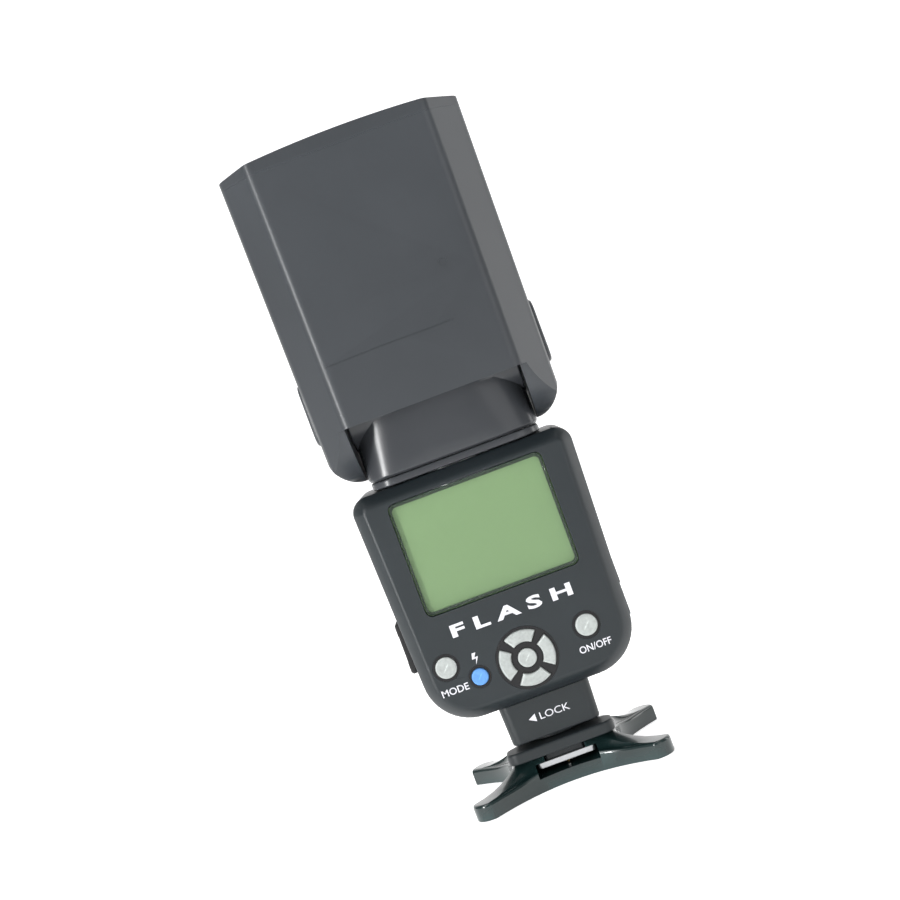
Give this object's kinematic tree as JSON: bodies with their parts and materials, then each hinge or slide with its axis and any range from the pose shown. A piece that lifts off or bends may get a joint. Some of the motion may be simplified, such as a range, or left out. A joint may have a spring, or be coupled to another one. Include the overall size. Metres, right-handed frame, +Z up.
{
  "type": "speedlight flash",
  "caption": "Camera speedlight flash with a tilting, swivelling head, rear display and keys, locked in the shoe of a four-legged mini stand.",
  "frame": {"origin": "on the floor under the middle of the mini stand", "axes": "+Z up along the upright head, display faces -Y, light leaves along +Z at rest and along +Y when the head is lowered"},
  "size_m": [0.0778, 0.0594, 0.211],
  "materials": {
    "head_plastic": "fine textured charcoal moulding",
    "body_plastic": "satin near-black moulding",
    "tray_plastic": "plain black moulding",
    "stand_plastic": "polished black moulding with a faint green cast",
    "key_grey": "light grey silicone keys",
    "key_blue": "translucent blue key",
    "display_window": "clear flat window",
    "display_green": "green liquid crystal display, unlit",
    "board": "solder mask",
    "rubber": "moulded rubber",
    "steel": "plated steel",
    "brass": "turned brass",
    "reflector": "polished aluminium",
    "lens": "moulded fresnel acrylic",
    "clear_plastic": "clear diffusing panel",
    "tube_glass": "quartz tube",
    "white_card": "white card",
    "red_window": "deep red filter window",
    "sleeve": "shrink sleeve",
    "ferrite": "ferrite core"
  },
  "bodies": {
    "stand": {"mini_stand": "stand_plastic", "tripod_insert": "brass"},
    "flash_body": {"foot_base": "body_plastic", "foot_block": "body_plastic", "shoe_plate": "steel", "rear_cover": "body_plastic", "front_cover": "body_plastic", "front_window": "red_window", "slave_sensor": "sleeve", "display_window": "display_window", "display_panel": "display_green", "key_mat": "rubber", "main_board": "board", "flash_capacitor": "sleeve", "transformer": "ferrite", "sync_socket": "steel", "battery_tray": "tray_plastic", "tray_contact_plate": "steel", "door_hinge_pin": "steel"},
    "lock_lever": {"lock_lever": "body_plastic"},
    "lock_pin": {"lock_pin": "steel"},
    "shoe_contact": {"shoe_contact_pin": "brass"},
    "neck": {"swivel_hub": "steel", "swivel_collar": "body_plastic", "neck_block": "head_plastic", "tilt_axle": "steel", "click_disc_right": "steel", "click_disc_left": "steel"},
    "head": {"head_rear_shell": "head_plastic", "head_front_shell": "head_plastic", "lens_rim": "head_plastic", "fresnel_lens": "lens", "ear_cap": "head_plastic", "guide_rod": "steel", "zoom_motor": "steel"},
    "tilt_release": {"tilt_release_button": "head_plastic"},
    "zoom": {"reflector": "reflector", "flash_tube": "tube_glass", "zoom_carriage": "tray_plastic"},
    "lead_screw": {"lead_screw": "steel"},
    "bounce_card": {"bounce_card": "white_card"},
    "wide_panel": {"wide_panel": "clear_plastic"},
    "battery_door": {"battery_door": "body_plastic", "door_contact_plate": "steel"},
    "door_latch": {"door_latch": "body_plastic"},
    "socket_cover": {"socket_cover": "rubber"},
    "mode_key": {"mode_key": "key_grey"},
    "pilot_key": {"pilot_key": "key_blue"},
    "power_key": {"power_key": "key_grey"},
    "set_key": {"set_key": "key_grey"},
    "right_key": {"right_key": "key_grey"},
    "up_key": {"up_key": "key_grey"},
    "left_key": {"left_key": "key_grey"},
    "down_key": {"down_key": "key_grey"}
  },
  "joints": [
    {"name": "shoe_slide", "type": "slide", "parent": "stand", "child": "flash_body", "axis": [0, -1, 0], "range_m": [0, 0.028]},
    {"name": "lock_lever_swing", "type": "hinge", "parent": "flash_body", "child": "lock_lever", "pos_m": [0, 0, 0.0146], "axis": [0, 0, 1], "range_deg": [0, 25]},
    {"name": "lock_pin_lift", "type": "slide", "parent": "flash_body", "child": "lock_pin", "axis": [0, 0, 1], "range_m": [0, 0.0012]},
    {"name": "shoe_contact_press", "type": "slide", "parent": "flash_body", "child": "shoe_contact", "axis": [0, 0, 1], "range_m": [0, 0.0006], "stiffness_N_per_m": 400, "springref_m": -0.001},
    {"name": "head_swivel", "type": "hinge", "parent": "flash_body", "child": "neck", "pos_m": [0, 0, 0.104], "axis": [0, 0, 1], "range_deg": [-180, 90]},
    {"name": "head_tilt", "type": "hinge", "parent": "neck", "child": "head", "pos_m": [0, 0, 0.133], "axis": [1, 0, 0], "range_deg": [-90, 0]},
    {"name": "tilt_release_press", "type": "slide", "parent": "head", "child": "tilt_release", "axis": [-1, 0, 0], "range_m": [0, 0.0012], "stiffness_N_per_m": 800, "springref_m": -0.0006},
    {"name": "zoom_travel", "type": "slide", "parent": "head", "child": "zoom", "axis": [0, 0, -1], "range_m": [0, 0.02]},
    {"name": "lead_screw_turn", "type": "hinge", "parent": "head", "child": "lead_screw", "pos_m": [0.0332, 0, 0.16], "axis": [0, 0, 1], "range_deg": [0, 1450]},
    {"name": "bounce_card_slide", "type": "slide", "parent": "head", "child": "bounce_card", "axis": [0, 0, 1], "range_m": [0, 0.038]},
    {"name": "wide_panel_slide", "type": "slide", "parent": "head", "child": "wide_panel", "axis": [0, 0, 1], "range_m": [0, 0.038]},
    {"name": "battery_door_swing", "type": "hinge", "parent": "flash_body", "child": "battery_door", "pos_m": [0.0327, 0.0182, 0.056], "axis": [0, 0, 1], "range_deg": [0, 100]},
    {"name": "door_latch_slide", "type": "slide", "parent": "battery_door", "child": "door_latch", "axis": [0, 1, 0], "range_m": [0, 0.003]},
    {"name": "socket_cover_swing", "type": "hinge", "parent": "flash_body", "child": "socket_cover", "pos_m": [-0.03575, 0.0083, 0.0542], "axis": [0, 0, 1], "range_deg": [-100, 0]},
    {"name": "mode_key_press", "type": "slide", "parent": "flash_body", "child": "mode_key", "axis": [0, 1, 0], "range_m": [0, 0.0005], "stiffness_N_per_m": 600, "springref_m": -0.0005},
    {"name": "pilot_key_press", "type": "slide", "parent": "flash_body", "child": "pilot_key", "axis": [0, 1, 0], "range_m": [0, 0.0005], "stiffness_N_per_m": 600, "springref_m": -0.0005},
    {"name": "power_key_press", "type": "slide", "parent": "flash_body", "child": "power_key", "axis": [0, 1, 0], "range_m": [0, 0.0005], "stiffness_N_per_m": 600, "springref_m": -0.0005},
    {"name": "set_key_press", "type": "slide", "parent": "flash_body", "child": "set_key", "axis": [0, 1, 0], "range_m": [0, 0.0005], "stiffness_N_per_m": 600, "springref_m": -0.0005},
    {"name": "right_key_press", "type": "slide", "parent": "flash_body", "child": "right_key", "axis": [0, 1, 0], "range_m": [0, 0.0005], "stiffness_N_per_m": 600, "springref_m": -0.0005},
    {"name": "up_key_press", "type": "slide", "parent": "flash_body", "child": "up_key", "axis": [0, 1, 0], "range_m": [0, 0.0005], "stiffness_N_per_m": 600, "springref_m": -0.0005},
    {"name": "left_key_press", "type": "slide", "parent": "flash_body", "child": "left_key", "axis": [0, 1, 0], "range_m": [0, 0.0005], "stiffness_N_per_m": 600, "springref_m": -0.0005},
    {"name": "down_key_press", "type": "slide", "parent": "flash_body", "child": "down_key", "axis": [0, 1, 0], "range_m": [0, 0.0005], "stiffness_N_per_m": 600, "springref_m": -0.0005}
  ],
  "couplings": [
    {"joint": "lock_pin_lift", "follows": "lock_lever_swing", "m_per_rad": 0.0025},
    {"joint": "lead_screw_turn", "follows": "zoom_travel", "rad_per_m": 1256.6}
  ]
}
